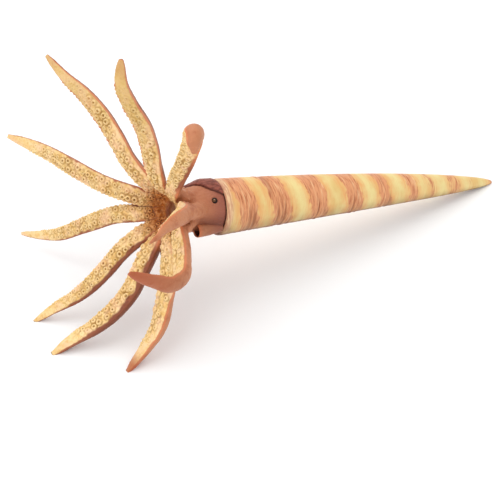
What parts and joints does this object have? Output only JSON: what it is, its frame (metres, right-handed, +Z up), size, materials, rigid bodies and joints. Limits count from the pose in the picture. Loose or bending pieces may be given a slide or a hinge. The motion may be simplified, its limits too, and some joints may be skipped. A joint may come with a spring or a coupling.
{
  "type": "orthocone nautiloid figurine",
  "caption": "Moulded figurine of a living orthocone nautiloid: a long straight striped cone shell, a hooded head with small eyes and a funnel, and a spread crown of suckered arms.",
  "frame": {"origin": "middle of the figurine's bounding box in X and Y, on the surface it rests on", "axes": "+X from the arms to the tip of the shell, +Z up, the side with the visible eye towards -Y"},
  "size_m": [0.2019, 0.0988, 0.1021],
  "materials": {
    "shell": "satin painted vinyl, cream with brushed terracotta bands",
    "skin": "satin painted vinyl, terracotta shaded with brown",
    "hood": "satin painted vinyl, mauve brown",
    "arm": "satin painted vinyl, cream inner faces with a brown wash and terracotta backs",
    "eye": "glossy dark paint"
  },
  "bodies": {
    "root": {"shell": "shell", "head": "skin", "hood": "hood", "funnel": "skin", "eye_left": "eye", "eye_right": "eye", "arm_1": "arm", "arm_2": "arm", "arm_3": "arm", "arm_4": "arm", "arm_5": "arm", "arm_6": "arm", "arm_7": "arm", "arm_8": "arm", "arm_9": "arm", "arm_10": "arm"}
  },
  "joints": []
}
